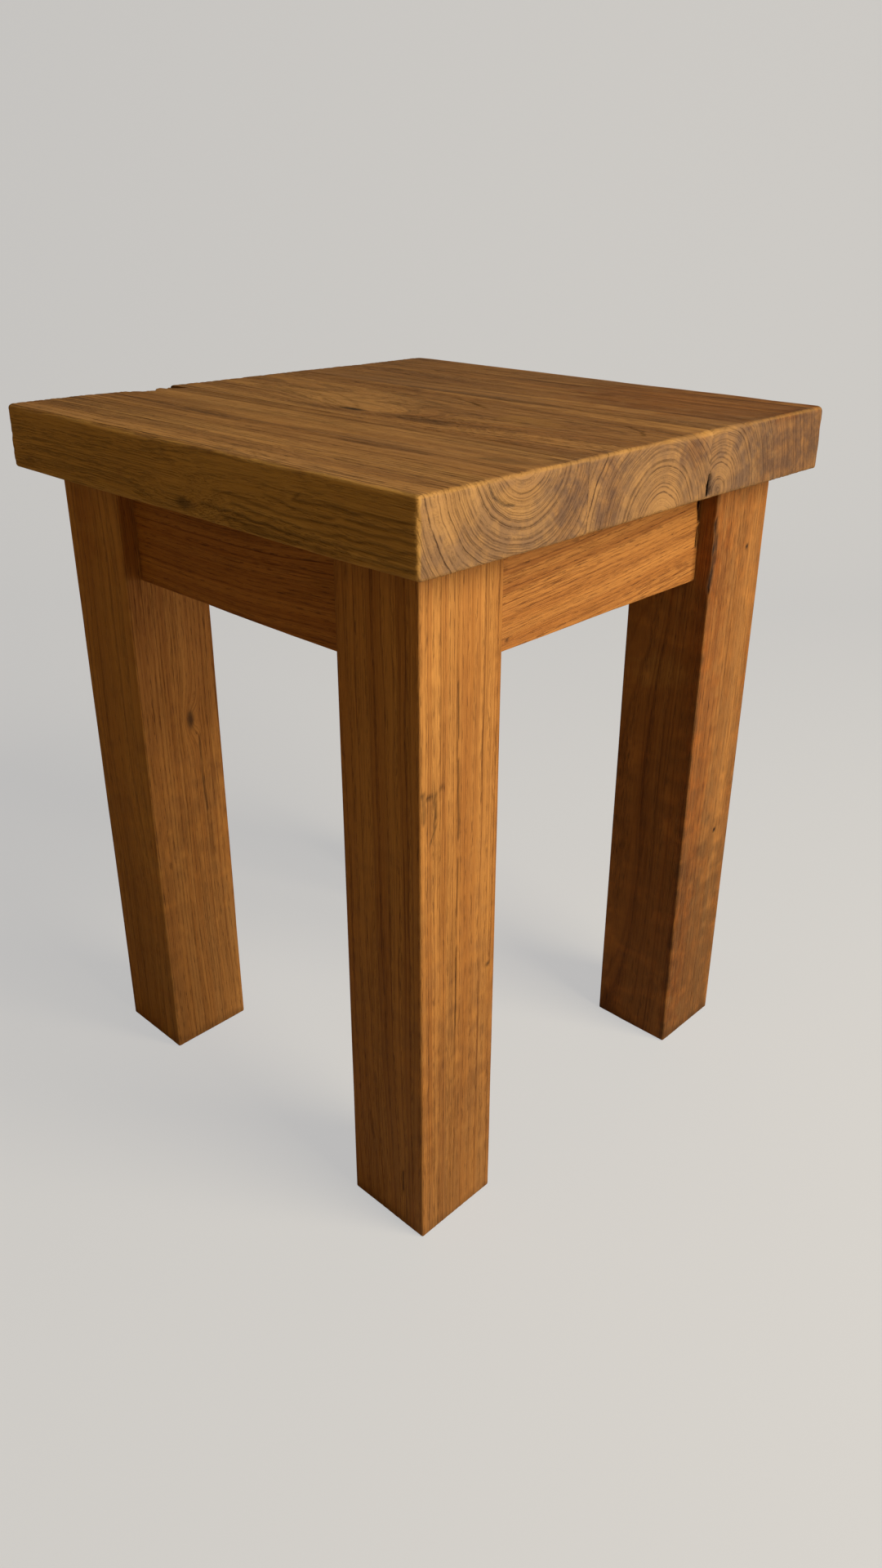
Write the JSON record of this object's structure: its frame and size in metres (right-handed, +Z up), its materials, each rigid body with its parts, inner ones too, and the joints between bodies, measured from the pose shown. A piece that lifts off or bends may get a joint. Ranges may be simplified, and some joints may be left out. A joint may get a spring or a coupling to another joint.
{
  "type": "milking stool",
  "caption": "Square wooden stool: a thick seat of edge-glued boards on straight square legs joined by aprons set back under the seat, with braced corners.",
  "frame": {"origin": "on the floor under the middle of the seat", "axes": "+Z up out of the seat; +X along the grain of the seat boards, towards the stool's right side; the front faces -Y"},
  "size_m": [0.35, 0.35, 0.45],
  "materials": {
    "seat_teak": "brushed and oiled reclaimed teak, raised grain",
    "frame_teak": "oiled reclaimed teak, planed smooth",
    "block_teak": "sawn teak, not oiled",
    "dowel_beech": "fluted beech rod, glued",
    "screw_steel": "zinc plated"
  },
  "bodies": {
    "root": {"seat_board_front": "seat_teak", "seat_board_middle": "seat_teak", "seat_board_rear": "seat_teak", "seat_dowels_front": "dowel_beech", "seat_dowels_rear": "dowel_beech", "leg_front_left": "frame_teak", "leg_front_right": "frame_teak", "leg_rear_left": "frame_teak", "leg_rear_right": "frame_teak", "apron_front": "frame_teak", "apron_rear": "frame_teak", "apron_left": "frame_teak", "apron_right": "frame_teak", "corner_block_front_left": "block_teak", "corner_block_front_right": "block_teak", "corner_block_rear_left": "block_teak", "corner_block_rear_right": "block_teak", "block_screws": "screw_steel", "seat_screws": "screw_steel"}
  },
  "joints": []
}
